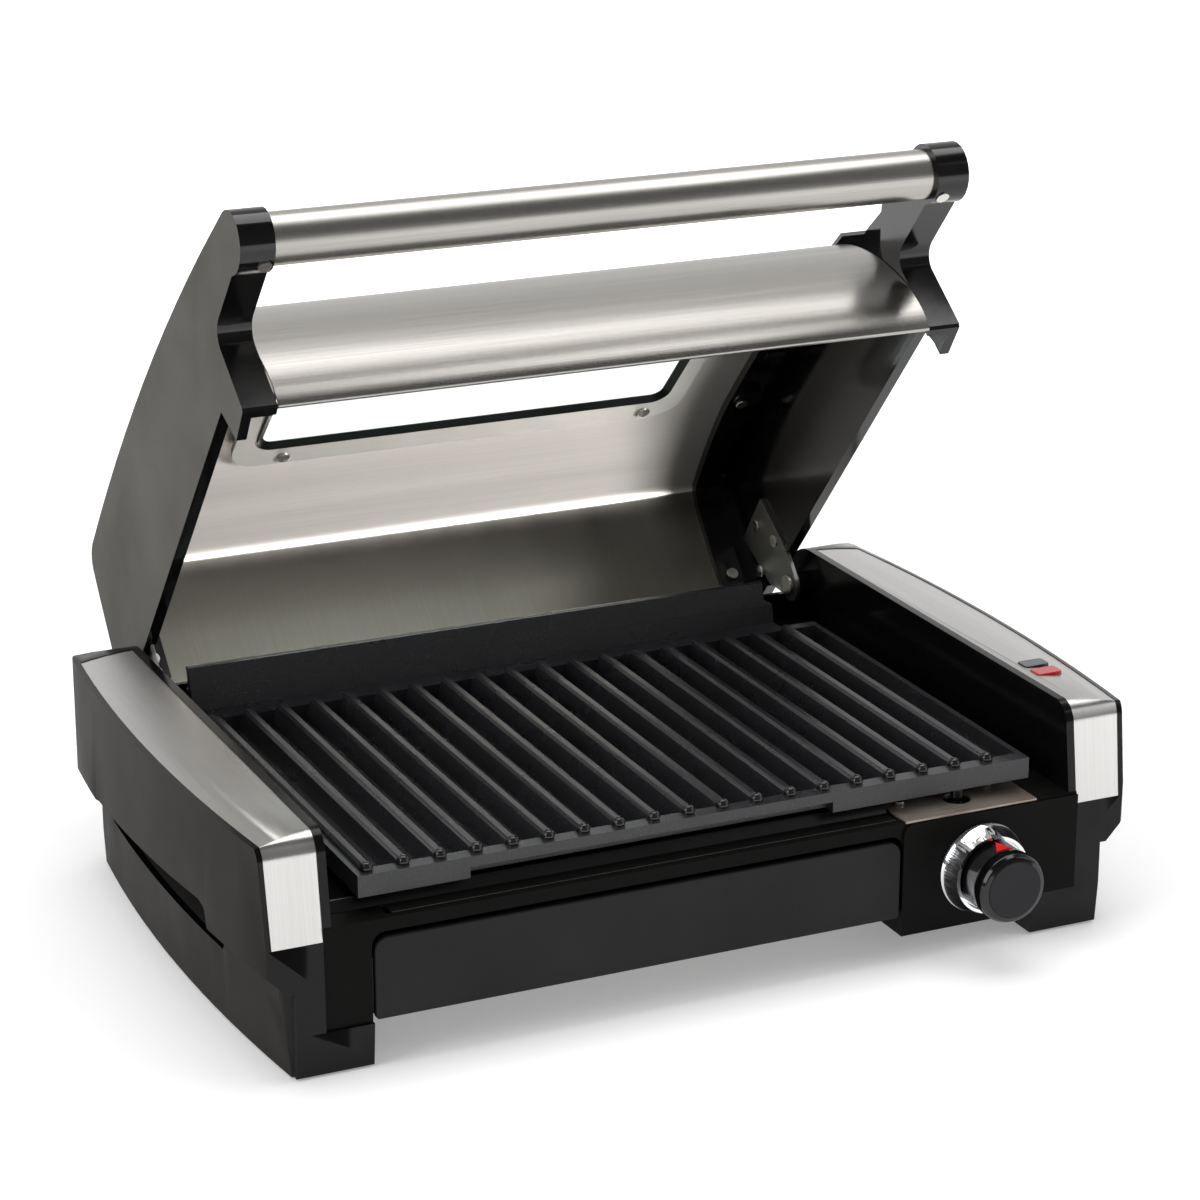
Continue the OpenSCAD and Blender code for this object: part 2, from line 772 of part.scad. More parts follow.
// The lid is drawn closed, from the foot of its arms (s) and up from its bottom edge (h)
module lid_place() {
    translate([0, hinge_y, hinge_z]) rotate([-lid_open, 0, 0])
        translate([0, -hinge_s, hinge_drop]) children();
}

// Top and back edge of the lid from s0, drawn in by d
function lid_edge(s0, d, end = 0) = concat(
    [for (i = [0:12]) let (s = s0 + (bend_s - s0) * i / 12) [s, crown(s) - d]],
    arc(bend_s, crown(bend_s) - bend_r, bend_r - d, 84, 6, 6),
    [[lid_l - 7 - d, 55], [lid_l - back_lean - d, 28], [lid_l - back_lean * end / 28 - d, end]]);

// The same edge for the sheet and the rails under it
function sheet_edge(s0, d, end) = concat(
    [for (i = [0:20]) let (s = s0 + (sheet_bend_s - s0) * i / 20) [s, crown(s) - fall(s) - d]],
    arc(sheet_bend_s, crown(sheet_bend_s) - sheet_fall - sheet_bend_r, sheet_bend_r - d, 76, 25, 5),
    [[lid_l - 7 - d, 55], [lid_l - back_lean - d, 28], [lid_l - back_lean * end / 28 - d, end]]);

function hub_arc() = arc(hub_s, hub_h, hub_r, 105, 311, 14);

function front_edge() = concat(hub_arc(), [[-32, 25.9]], arc(-31, 16.9, 9, 90, 4, 5),
    [[foot_s, foot_h + 1.4], [foot_s + 1, foot_h], [-6, foot_h - 2.5]]);

module side_outline() {
    polygon(concat(flip(lid_edge(-60, 0)), front_edge(), [[0, 0]]));
}

module lid_side() {
    difference() {
        union() {
            along_x(side_in, lid_x) side_outline();
            // top and back flange
            along_x(arm_in - 1, side_in)
                polygon(concat(lid_edge(10, 0), flip(lid_edge(10, flange_t))));
            // rim along the bottom edge
            along_x(lid_x - 5.6, side_in)
                polygon([[0, 0], [lid_l - flange_t, 0], [lid_l - flange_t, 3], [0, 3]]);
            // arm, thicker than the rest
            along_x(arm_in, side_in)
                polygon(concat([[-6, foot_h - 2.5], [-5, 0], [-8, 22], [-14, 38], [-28, 50],
                    [-40, crown(-40)], [-60, crown(-60)]], front_edge()));
        }
        // seat for the tube and the hole of its screw
        rod_x(arm_in - 1, handle_end + 0.2, hub_s, hub_h, handle_r + 0.05);
        rod_z(hub_h - hub_r - 1, hub_h, handle_end - 6, hub_s, 1.6);
        rod_z(hub_h - hub_r - 1, hub_h - hub_r + 1, handle_end - 6, hub_s, 3.1);
        // hollow behind the foot's front bar
        box([arm_in - 1, foot_s + foot_bar, foot_h - 3], [lid_x - foot_wall, 1, 0]);
        // relief over the plate's outer ribs
        box([arm_in - 1, -20, foot_h - 3], [arm_in + 1.5, -4, foot_h - 0.3]);
        // room for the hinge plate behind the rim
        box([side_in - 4, hinge_s - 12, -1], [side_in, hinge_s + 20, 4]);
        for (p = hinge_holes)
            rod_x(side_in - 1, side_in + 1.8, p[0], p[1], 1.5);
    }
}
handle_end = arm_in + 10;
hinge_holes = [[208.4, 28.4], [197.4, 11.8], [221.7, 9.3]];

module left_lid_side() {
    color([0.3, 0.3, 0.29]) lid_place() mirror([1, 0, 0]) lid_side();
}

module right_lid_side() {
    color([0.3, 0.3, 0.29]) lid_place() lid_side();
}

hood_s0 = 27;
window_x = glass_x + 2.5;

module hood() {
    color([0.7, 0.69, 0.67]) lid_place() difference() {
        along_x(-sheet_x, sheet_x)
            polygon(concat(sheet_edge(hood_s0, sheet_sink, 1), flip(sheet_edge(hood_s0, flange_t, 1))));
        translate([0, 0, 40]) linear_extrude(60)
            rounded_rect(-window_x, glass_s0 - 2, window_x, glass_s1 + 2, 10);
    }
}

visor_end = [26, crown(26) - sheet_sink + sheet_t + seam_gap];
visor_lap = 12;
visor_curve = [[foot_s - 0.5, foot_h - 0.1], [-30.4, 11.8], [2.9, 62.4], visor_end];

module visor() {
    n = 16;
    outer = [for (i = [0:n]) bezier(visor_curve, i / n)];
    inner = [for (i = [0:n]) let (a = bezier(visor_curve, max(0, i / n - 0.01)),
        b = bezier(visor_curve, min(1, i / n + 0.01)), d = (b - a) / norm(b - a))
        outer[i] + sheet_t * [d[1], -d[0]]];
    color([0.72, 0.71, 0.69]) lid_place() along_x(-sheet_x, sheet_x)
        polygon(concat(outer, [visor_end + [visor_lap, visor_lap * 0.134]],
            [visor_end + [visor_lap, visor_lap * 0.134 - sheet_t]],
            flip(inner)));
}

// Band that follows the crown from s0 to s1, between depths d0 and d1
module crown_band(x, s0, s1, d0, d1) {
    n = 8;
    along_x(-x, x) polygon(concat(
        [for (i = [0:n]) let (s = s0 + (s1 - s0) * i / n) [s, crown(s) - d0]],
        [for (i = [n:-1:0]) let (s = s0 + (s1 - s0) * i / n) [s, crown(s) - d1]]));
}

module window_cut(x, s0, s1, r) {
    translate([0, 0, 40]) linear_extrude(60) rounded_rect(-x, s0, x, s1, r);
}

gasket_w = 3;
glass_d = flange_t + seam_gap;
pane_x = glass_x + 6;
pane_s0 = glass_s0 - 6;
pane_s1 = glass_s1 + 3;

module window_glass() {
    color([0.8, 0.9, 0.85, 0.4]) lid_place() intersection() {
        crown_band(pane_x, pane_s0, pane_s1, glass_d, glass_d + glass_t);
        window_cut(pane_x, pane_s0, pane_s1, 10);
    }
}

module window_gasket() {
    color([0.1, 0.12, 0.11]) lid_place() difference() {
        intersection() {
            crown_band(pane_x + gasket_w, pane_s0 - gasket_w, pane_s1 + gasket_w, glass_d, glass_d + glass_t);
            window_cut(pane_x + gasket_w, pane_s0 - gasket_w, pane_s1 + gasket_w, 12);
        }
        window_cut(pane_x + 0.02, pane_s0 - 0.02, pane_s1 + 0.02, 10);
    }
}

frame_s1 = glass_s1 + frame_rear;
window_screw_places = [[-91, frame_s1 - 6.2], [98, frame_s1 - 6.2],
    [-91, glass_s0 - 13], [98, glass_s0 - 13]];

module window_frame() {
    d = glass_d + glass_t + seam_gap;
    color([0.55, 0.55, 0.54]) lid_place() difference() {
        intersection() {
            crown_band(glass_x + frame_side, glass_s0 - frame_fore, frame_s1, d, d + frame_ring_t);
            window_cut(glass_x + frame_side, glass_s0 - frame_fore, frame_s1, 14);
        }
        window_cut(glass_x, glass_s0, glass_s1, 9);
        for (p = window_screw_places)
            rod_z(0, far, p[0], p[1], 1.6);
    }
}

module window_screws() {
    d = glass_d + glass_t + seam_gap + frame_ring_t;
    color([0.8, 0.8, 0.8]) lid_place()
        for (p = window_screw_places) {
            rod_z(crown(p[1]) - d - 1.9, crown(p[1]) - d - 0.4, p[0], p[1], 3.2);
            rod_z(crown(p[1]) - d - 0.4, crown(p[1]) - flange_t - 0.5, p[0], p[1], 1.5);
        }
}

module handle_tube() {
    color([0.75, 0.74, 0.72]) lid_place() difference() {
        rod_x(-handle_end, handle_end, hub_s, hub_h, handle_r);
        rod_x(-handle_end - 1, handle_end + 1, hub_s, hub_h, handle_r - handle_wall);
        for (s = [-1, 1])
            rod_z(hub_h - far / 4, hub_h, s * (handle_end - 6), hub_s, 1.6);
    }
}

module handle_screws() {
    color([0.6, 0.6, 0.6]) lid_place() both_sides() {
        rod_z(hub_h - hub_r - 0.5, hub_h - hub_r + 1, handle_end - 6, hub_s, 3);
        rod_z(hub_h - hub_r + 1, hub_h - handle_r + 4, handle_end - 6, hub_s, 1.5);
    }
}

rail_x0 = sheet_x - 6;
rail_x1 = arm_in + 6;
rail_s0 = 64;
rail_screw_s = 157;

module clamp_rail() {
    difference() {
        union() {
            // under the sheet
            along_x(rail_x0, arm_in - 0.5)
                polygon(concat(sheet_edge(rail_s0, flange_t + seam_gap, 6),
                    flip(sheet_edge(rail_s0, flange_t + rail_t, 6))));
            // under the side's flange
            along_x(arm_in - 1, rail_x1)
                polygon(concat(lid_edge(rail_s0, flange_t + seam_gap, 6),
                    flip(sheet_edge(rail_s0, flange_t + rail_t, 6))));
            for (s = [rail_s0 + 8:18:bend_s - 6])
                along_x(rail_x0 + 3, rail_x1) polygon([[s, rail_under(s) + 1], [s + 5, rail_under(s + 5) + 1],
                    [s + 5, rail_under(s + 5) - 3], [s, rail_under(s) - 3]]);
        }
        for (p = rail_screw_places)
            lid_normal(p) translate([rail_mid, 0, -2]) cylinder(r = 1.5, h = 12);
    }
}
rail_mid = (rail_x0 + rail_x1) / 2;
// Height of the rail's underside
function rail_under(s) = crown(s) - fall(s) - flange_t - rail_t;
// Each place is s, h and the lean of the screw
rail_screw_places = [[rail_screw_s, rail_under(rail_screw_s), 0],
    [lid_l - flange_t - rail_t - 1.1, 16, -87.5]];

module lid_normal(p) {
    translate([0, p[0], p[1]]) rotate([p[2], 0, 0]) children();
}

module rail_screws() {
    color([0.8, 0.8, 0.8]) lid_place() both_sides()
        for (p = rail_screw_places)
            lid_normal(p) translate([rail_mid, 0, 0]) {
                translate([0, 0, -2.2]) cylinder(r = 3.2, h = 1.8);
                translate([0, 0, -0.4]) cylinder(r = 1.4, h = 3.8);
            }
}

module left_clamp_rail() {
    color([0.08, 0.08, 0.08]) lid_place() mirror([1, 0, 0]) clamp_rail();
}

module right_clamp_rail() {
    color([0.08, 0.08, 0.08]) lid_place() clamp_rail();
}

module hinge_plate() {
    x = side_in - plate_hinge_t;
    difference() {
        along_x(x, side_in) union() {
            polygon([[195.7, 36.5], [191.5, 3], [hinge_s - 8, -hinge_drop], [hinge_s + 8, -hinge_drop],
                [219.3, -0.2], [227.3, 33.2]]);
            translate([hinge_s, -hinge_drop]) circle(r = 8);
        }
        rod_x(x - 1, side_in + 1, hinge_s, -hinge_drop, pin_r + fit);
        for (p = hinge_holes)
            rod_x(x - 1, side_in + 1, p[0], p[1], 1.5);
    }
}

module left_hinge_plate() {
    color([0.35, 0.34, 0.33]) lid_place() mirror([1, 0, 0]) hinge_plate();
}

module right_hinge_plate() {
    color([0.35, 0.34, 0.33]) lid_place() hinge_plate();
}

module hinge_screws() {
    x = side_in - plate_hinge_t;
    color([0.8, 0.8, 0.8]) lid_place() both_sides()
        for (p = hinge_holes) {
            rod_x(x - 1.8, x, p[0], p[1], 3.2);
            rod_x(x, side_in + 1.5, p[0], p[1], 1.4);
        }
}

rib_x0 = -154.3;         // the row of ribs lies a little to the left
rib_end = plate_back - 5.9;

module rib(x) {
    z0 = plate_floor - 0.5;
    z1 = plate_z + rib_up;
    along_y(ledge_back - 1, rib_end)
        polygon([[x - rib_foot / 2, z0], [x + rib_foot / 2, z0], [x + rib_top / 2 + 0.8, z1 - 1.2],
            [x + rib_top / 2 - 0.4, z1], [x - rib_top / 2 + 0.4, z1], [x - rib_top / 2 - 0.8, z1 - 1.2]]);
}

module grill_plate() {
    right = plate_w / 2;
    wall_foot = plate_back + 5.9;
    step_x = right - 19;
    rail = 3;
    color([0.13, 0.13, 0.14]) difference() {
        union() {
            // floor and raised border
            difference() {
                box([plate_left, ledge_back - 1.5, plate_under], [right, plate_back, plate_z]);
                box([plate_left + rail, ledge_back, plate_floor], [right - rail, rib_end, far]);
            }
            box([plate_left, -plate_front, plate_z - 4.8], [right, ledge_back, plate_z]);
            // thick pads under the front corners
            box([plate_left, -plate_front, pad_z], [-110, -112, plate_under + 1]);
            box([61, -plate_front, pad_z], [right, -112, plate_under + 1]);
            box([plate_left, -plate_front, pad_z], [-110, ledge_back, plate_z]);
            box([61, -plate_front, pad_z], [right, ledge_back, plate_z]);
            // rear ledge and wall
            box([plate_left, rib_end, plate_under + 2], [step_x, wall_foot + 2, plate_z]);
            along_x(plate_left, step_x)
                polygon([[wall_foot, plate_z - 3], [wall_foot + 3.6, plate_z - 3], [wall_foot + 9.4, 91],
                    [wall_foot + 3, 91]]);
            along_x(plate_left, step_x - 4)
                polygon([[wall_foot, plate_z - 3], [wall_foot + 3.6, plate_z - 3],
                    [wall_foot + 9.8, back_wall_z - 0.6], [wall_foot + 8.8, back_wall_z],
                    [wall_foot + 7.4, back_wall_z], [wall_foot + 6.4, back_wall_z - 0.6]]);
            for (i = [0:rib_n - 1]) {
                x = rib_x0 + i * rib_pitch;
                rib(x);
                rod_z(plate_z - 1, plate_z + 1.2, x, -plate_front + 5.2, nub_r);
                translate([x, -plate_front + 5.2, plate_z + 1.2]) difference() {
                    sphere(r = nub_r, $fn = 24);
                    translate([0, 0, -5]) cube([10, 10, 10], center = true);
                }
            }
        }
        // drain slots
        for (i = [8, 9, 10])
            translate([0, 0, plate_under - 1]) linear_extrude(6)
                rounded_rect(rib_x0 + (i + 0.5) * rib_pitch - 1.8, -20, rib_x0 + (i + 0.5) * rib_pitch + 1.8, 20, 1.7);
    }
}

module drip_tray() {
    x0 = -bay_left + tray_gap + 0.5;
    x1 = bay_right - tray_gap - 0.5;
    color([0.25, 0.25, 0.26]) difference() {
        box([x0, tray_face + 3.5, tray_bottom], [x1, tray_face + 3.5 + tray_d, tray_bottom + tray_wall_h]);
        box([x0 + tray_t, tray_face + 3.5 + tray_t, tray_bottom + tray_t],
            [x1 - tray_t, tray_face + 3.5 + tray_d - tray_t, far]);
    }
}
tray_face = front + 0.4;

module tray_front() {
    z0 = bay_top - 2.4 - tray_front_h;
    z1 = bay_top - 2.4;
    x0 = -bay_left + 1.2;
    x1 = bay_right - 1.2;
    r = bay_round;
    color([0.12, 0.12, 0.12]) along_y(tray_face, tray_face + 3.5)
        polygon(concat([[x0 + 1, z0], [x1 - 1, z0], [x1, z0 + 1]], arc(x1 - r, z1 - r, r, 0, 90, 5),
            arc(x0 + r, z1 - r, r, 90, 180, 5), [[x0, z0 + 1]]));
}

base_frame();
bottom_plate();
rear_panel();
control_cover();
left_housing();
right_housing();
left_strip();
right_strip();
rubber_feet();
power_lens();
ready_lens();
lamp_holders();
sensor_bracket();
bracket_screws();
plunger_guide();
sensor_plunger();
plunger_spring();
thermostat_body();
knob_bezel();
knob();
knob_cap();
knob_pointer();
knob_shaft();
heating_element();
element_clips();
element_terminals();
heat_shield();
terminal_block();
lead_wires();
cord_gland();
base_screws();
hinge_pins();
hinge_bushes();
left_lid_side();
right_lid_side();
hood();
visor();
window_glass();
window_gasket();
window_frame();
window_screws();
handle_tube();
handle_screws();
left_clamp_rail();
right_clamp_rail();
rail_screws();
left_hinge_plate();
right_hinge_plate();
hinge_screws();
grill_plate();
drip_tray();
tray_front();
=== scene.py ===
"""Electric indoor grill with its lid open: finishes and finer surfaces over the fixed parts."""
import json
import math
import bmesh
import bpy
import numpy as np
from mathutils import Matrix, Vector


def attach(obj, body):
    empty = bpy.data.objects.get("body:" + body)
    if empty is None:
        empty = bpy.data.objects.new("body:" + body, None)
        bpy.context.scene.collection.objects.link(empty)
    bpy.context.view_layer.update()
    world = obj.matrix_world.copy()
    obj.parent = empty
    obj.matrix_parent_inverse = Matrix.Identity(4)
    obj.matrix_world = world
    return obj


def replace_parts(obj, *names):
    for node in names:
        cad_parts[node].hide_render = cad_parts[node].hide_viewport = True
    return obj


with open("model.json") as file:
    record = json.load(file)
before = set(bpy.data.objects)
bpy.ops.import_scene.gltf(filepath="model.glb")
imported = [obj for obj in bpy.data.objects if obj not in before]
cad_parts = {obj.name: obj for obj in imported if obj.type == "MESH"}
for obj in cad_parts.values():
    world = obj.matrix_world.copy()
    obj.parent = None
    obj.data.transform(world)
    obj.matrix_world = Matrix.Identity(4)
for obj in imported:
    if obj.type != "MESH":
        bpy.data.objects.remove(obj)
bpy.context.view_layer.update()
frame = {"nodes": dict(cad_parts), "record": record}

MM = 0.001

# ---------------------------------------------------------------- camera
CAMERA_PLACE = (-0.6253, -1.3597, 0.6524)
CAMERA_DOWN = 18.89       # degrees below the horizon
CAMERA_TURNED = 24.93     # degrees to the right of straight ahead
CAMERA_ROLL = 0.12        # degrees
CAMERA_LENS = 104.92      # mm on a 36 mm wide picture


def make_camera():
    """The photo's camera, solved on its straight edges."""
    data = bpy.data.cameras.new("camera")
    data.lens = CAMERA_LENS
    data.sensor_width = 36.0
    data.sensor_fit = "HORIZONTAL"
    data.clip_end = 30.0
    camera = bpy.data.objects.new("camera", data)
    bpy.context.scene.collection.objects.link(camera)
    turn = (Matrix.Rotation(math.radians(-CAMERA_TURNED), 4, "Z")
            @ Matrix.Rotation(math.radians(90 - CAMERA_DOWN), 4, "X")
            @ Matrix.Rotation(math.radians(CAMERA_ROLL), 4, "Z"))
    camera.matrix_world = Matrix.Translation(CAMERA_PLACE) @ turn
    bpy.context.scene.camera = camera


# ---------------------------------------------------------------- record
RECORD = frame["record"]
BODY_OF = {node: body for body, nodes in RECORD["behaviour"]["bodies"].items() for node in nodes}
SLOT_OF = {part["node"]: part["material_slot"] for part in RECORD["subparts"]}


# ---------------------------------------------------------------- material nodes
class Nodes:
    """Small helper that adds and joins the nodes of one material."""

    def __init__(self, name):
        self.material = bpy.data.materials.new(name)
        self.material.use_nodes = True
        self.tree = self.material.node_tree
        self.tree.nodes.clear()
        self.out = self.add("ShaderNodeOutputMaterial")
        self.shader = self.add("ShaderNodeBsdfPrincipled")
        self.join(self.shader.outputs[0], self.out.inputs["Surface"])
        self.place = self.add("ShaderNodeTexCoord").outputs["Object"]

    def add(self, kind, **settings):
        node = self.tree.nodes.new(kind)
        for key, value in settings.items():
            setattr(node, key, value)
        return node

    def join(self, a, b):
        self.tree.links.new(a, b)

    def put(self, socket, value):
        """Joins an output to a socket, or sets the socket's own value."""
        if hasattr(value, "is_output"):
            self.join(value, socket)
        else:
            socket.default_value = value

    def scaled(self, scale):
        """The place stretched by a factor for each axis."""
        node = self.add("ShaderNodeMapping")
        node.inputs["Scale"].default_value = scale
        self.join(self.place, node.inputs["Vector"])
        return node.outputs[0]

    def noise(self, vector, scale, detail):
        node = self.add("ShaderNodeTexNoise")
        self.join(vector, node.inputs["Vector"])
        node.inputs["Scale"].default_value = scale
        node.inputs["Detail"].default_value = detail
        return node.outputs["Fac"]

    def span(self, value, low, high, from_low=0.3, from_high=0.7):
        """Carries a value from its own range, at first a noise's usual one, to low and high."""
        node = self.add("ShaderNodeMapRange")
        self.join(value, node.inputs["Value"])
        node.inputs["From Min"].default_value = from_low
        node.inputs["From Max"].default_value = from_high
        node.inputs["To Min"].default_value = low
        node.inputs["To Max"].default_value = high
        return node.outputs[0]

    def math(self, operation, a, b):
        node = self.add("ShaderNodeMath", operation=operation)
        self.put(node.inputs[0], a)
        self.put(node.inputs[1], b)
        return node.outputs[0]

    def mix(self, factor, a, b):
        node = self.add("ShaderNodeMix", data_type="RGBA")
        self.put(node.inputs["Factor"], factor)
        self.put(node.inputs[6], a)
        self.put(node.inputs[7], b)
        return node.outputs[2]

    def bump(self, height, distance):
        """Relief from a height of 0 to 1, in metres at 1."""
        node = self.add("ShaderNodeBump")
        self.join(height, node.inputs["Height"])
        node.inputs["Distance"].default_value = distance
        node.inputs["Strength"].default_value = 1.0
        return node.outputs[0]

    def brushed(self, spread, run):
        """Widens the gloss across the brush lines, which run in the direction given."""
        line = self.add("ShaderNodeCombineXYZ")
        for socket, value in zip(line.inputs, run):
            socket.default_value = value
        self.join(line.outputs[0], self.shader.inputs["Tangent"])
        self.shader.inputs["Anisotropic"].default_value = spread
        self.shader.inputs["Anisotropic Rotation"].default_value = 0.25

    def set(self, **values):
        """Sets or joins the shader's own inputs and hands back the material."""
        names = {"colour": "Base Color", "metal": "Metallic", "rough": "Roughness",
                 "normal": "Normal", "ior": "IOR", "coat": "Coat Weight",
                 "coat_rough": "Coat Roughness", "specular": "Specular IOR Level",
                 "clear": "Transmission Weight"}
        for key, value in values.items():
            self.put(self.shader.inputs[names[key]], value)
        return self.material


def rgb(level, green=None, blue=None):
    """A colour from picture levels of 0 to 255."""
    levels = (level, level if green is None else green, level if blue is None else blue)
    lin = [v / 255 / 12.92 if v <= 10 else ((v / 255 + 0.055) / 1.055) ** 2.4 for v in levels]
    return (*lin, 1.0)


def moulded_plastic(name, colour, rough, grain=0.00002, grain_size=1500, specular=0.5):
    """Moulded plastic with a fine even grain and slightly uneven gloss."""
    n = Nodes(name)
    fine = n.noise(n.place, grain_size, 2)
    broad = n.noise(n.place, 22, 3)
    shade = tuple(0.82 * c for c in colour[:3]) + (1.0,)
    return n.set(colour=n.mix(n.span(broad, 0, 1), colour, shade), specular=specular,
                 rough=n.span(broad, rough - 0.03, rough + 0.04), normal=n.bump(fine, grain))


def gloss_plastic(name, colour, rough=0.12, specular=0.5):
    """Smooth plastic with very shallow waves."""
    n = Nodes(name)
    broad = n.noise(n.place, 35, 2)
    waves = n.noise(n.place, 120, 2)
    return n.set(colour=colour, rough=n.span(broad, rough - 0.02, rough + 0.04), specular=specular,
                 normal=n.bump(waves, 0.00002))


# Brush lines along X or Y: direction, and stretch of their noise and of the broader bands'
BRUSH = {"X": ((1, 0, 0), (10, 2600, 2600), (2, 70, 70)),
         "Y": ((0, 1, 0), (2600, 10, 10), (70, 2, 2))}
BRUSH_RELIEF = 0.000012


def brushed_metal(name, colour, rough, along, tint=0.05, spread=0.8, run=None, metal=1.0):
    """Metal with fine brush lines along one axis, or along the run given for a turned part."""
    n = Nodes(name)
    direction, hair_stretch, band_stretch = BRUSH[along]
    hair = n.noise(n.scaled(hair_stretch), 1.0, 2)
    bands = n.noise(n.scaled(band_stretch), 1.0, 3)
    dark = tuple(c * (1 - tint * 2) for c in colour[:3]) + (1.0,)
    n.brushed(spread, run or direction)
    return n.set(metal=metal, colour=n.mix(n.span(hair, 0, 1), dark, colour),
                 rough=n.span(bands, rough - 0.03, rough + 0.04),
                 normal=n.bump(hair, BRUSH_RELIEF))


def plain_metal(name, colour, rough):
    """Metal with a fine even grain and no direction."""
    n = Nodes(name)
    fine = n.noise(n.place, 900, 3)
    broad = n.noise(n.place, 40, 3)
    dark = tuple(0.85 * c for c in colour[:3]) + (1.0,)
    return n.set(metal=1.0, colour=n.mix(n.span(broad, 0, 1), colour, dark),
                 rough=n.span(broad, rough - 0.04, rough + 0.05), normal=n.bump(fine, 0.000004))


def bright_chrome():
    """Smooth plating."""
    n = Nodes("bright chrome")
    broad = n.noise(n.place, 60, 2)
    return n.set(metal=1.0, colour=rgb(232, 233, 236), rough=n.span(broad, 0.03, 0.07))


def nonstick():
    """Dark coating with fine pale specks and a slight orange-peel surface."""
    n = Nodes("speckled nonstick")
    peel = n.noise(n.place, 900, 3)
    specks = n.noise(n.place, 2600, 1)
    broad = n.noise(n.place, 30, 3)
    base = n.mix(n.span(broad, 0, 1), rgb(40, 40, 43), rgb(33, 33, 36))
    colour = n.mix(n.span(specks, 0, 0.5, 0.66, 0.74), base, rgb(120, 120, 126))
    return n.set(colour=colour, rough=n.span(broad, 0.24, 0.32), specular=0.6,
                 normal=n.bump(peel, 0.00004))


def clear_lens(name, colour):
    """Coated lens with raised ribs."""
    n = Nodes(name)
    ribs = n.add("ShaderNodeTexWave", wave_type="BANDS", bands_direction="Y")
    n.join(n.place, ribs.inputs["Vector"])
    ribs.inputs["Scale"].default_value = 120
    return n.set(colour=colour, rough=0.08, coat=0.6, coat_rough=0.04,
                 normal=n.bump(ribs.outputs["Fac"], 0.00003))


def window_glass_finish():
    """Clear glass with a faint green tint."""
    n = Nodes("window glass")
    broad = n.noise(n.place, 12, 2)
    return n.set(colour=rgb(238, 246, 242), rough=n.span(broad, 0.0, 0.02), clear=1.0, ior=1.45)


def heat_tinted():
    """Steel that heat has turned brownish in broad patches."""
    n = Nodes("heat tinted steel")
    broad = n.noise(n.place, 70, 4)
    hair = n.noise(n.scaled((30, 1800, 1800)), 1.0, 2)
    colour = n.mix(n.span(broad, 0, 1, 0.35, 0.65), rgb(176, 166, 158), rgb(150, 136, 124))
    return n.set(metal=0.6, colour=colour, rough=n.span(hair, 0.26, 0.36),
                 normal=n.bump(hair, 0.000006))


def braided():
    """Woven sleeve of two browns."""
    n = Nodes("braided sleeve")
    weave = n.add("ShaderNodeTexWave", wave_type="BANDS", bands_direction="DIAGONAL")
    n.join(n.place, weave.inputs["Vector"])
    weave.inputs["Scale"].default_value = 700
    return n.set(colour=n.mix(weave.outputs["Fac"], rgb(96, 66, 36), rgb(140, 104, 66)), rough=0.8,
                 normal=n.bump(weave.outputs["Fac"], 0.0002))


# Finish of each material slot
FINISH = {
    "frame_black": moulded_plastic("frame plastic", rgb(18, 17, 16), 0.42, specular=0.06),
    "housing_black": gloss_plastic("housing plastic", rgb(12, 12, 12), 0.16, 0.22),
    "brushed_steel": brushed_metal("steel brushed along the strip", rgb(214, 212, 210), 0.3, "Y"),
    "plain_steel": brushed_metal("mill finish steel", rgb(160, 160, 158), 0.34, "X"),
    "rubber": moulded_plastic("black rubber", rgb(24, 24, 24), 0.75, specular=0.3),
    "red_lens": clear_lens("red lens", rgb(190, 12, 16)),
    "dark_lens": clear_lens("dark lens", rgb(14, 32, 50)),
    "pale_plastic": moulded_plastic("pale plastic", rgb(226, 222, 208), 0.5),
    "tinted_steel": heat_tinted(),
    "screw_steel": plain_metal("plated screws", rgb(222, 220, 214), 0.2),
    "gloss_black": gloss_plastic("gloss black plastic", rgb(11, 11, 12)),
    "chrome": bright_chrome(),
    "knob_grey": moulded_plastic("knob disc", rgb(28, 28, 33), 0.42, specular=0.25),
    "pointer_red": gloss_plastic("red pointer", rgb(216, 30, 26), 0.3),
    "element_steel": plain_metal("oxidised tube", rgb(92, 88, 84), 0.45),
    "ceramic": moulded_plastic("ceramic collar", rgb(232, 228, 214), 0.6),
    "shield_black": gloss_plastic("dark pan enamel", rgb(20, 19, 18), 0.26),
    "wire_sleeve": braided(),
    "lid_grey": moulded_plastic("lid side plastic", rgb(84, 82, 78), 0.5, specular=0.05),
    "window_glass": window_glass_finish(),
    "nonstick": nonstick(),
    "tray_grey": moulded_plastic("tray enamel", rgb(66, 66, 68), 0.4),
    "tray_black": moulded_plastic("textured tray front", rgb(28, 28, 29), 0.55,
                                  0.00008, 1400, 0.25),
}
LID_UP = (0.0, 0.762, 0.648)   # the open lid's upward direction, out of its crown
HOUSING_SIDE = moulded_plastic("satin housing side", rgb(46, 43, 41), 0.5, specular=0.05)
# Lighter copy of the hood's steel for its inside under the crown. Its bright colour and lower
# metal are painted light, on top of the real lamp that is linked to it.
HOOD_STEEL_PAINTED_LIGHT = brushed_metal("steel brushed along x", rgb(236, 231, 224), 0.4, "X",
                              spread=0.4, metal=0.7)
VISOR_STEEL = brushed_metal("visor steel brushed along x", rgb(182, 179, 174), 0.24, "X",
                            tint=0.08)
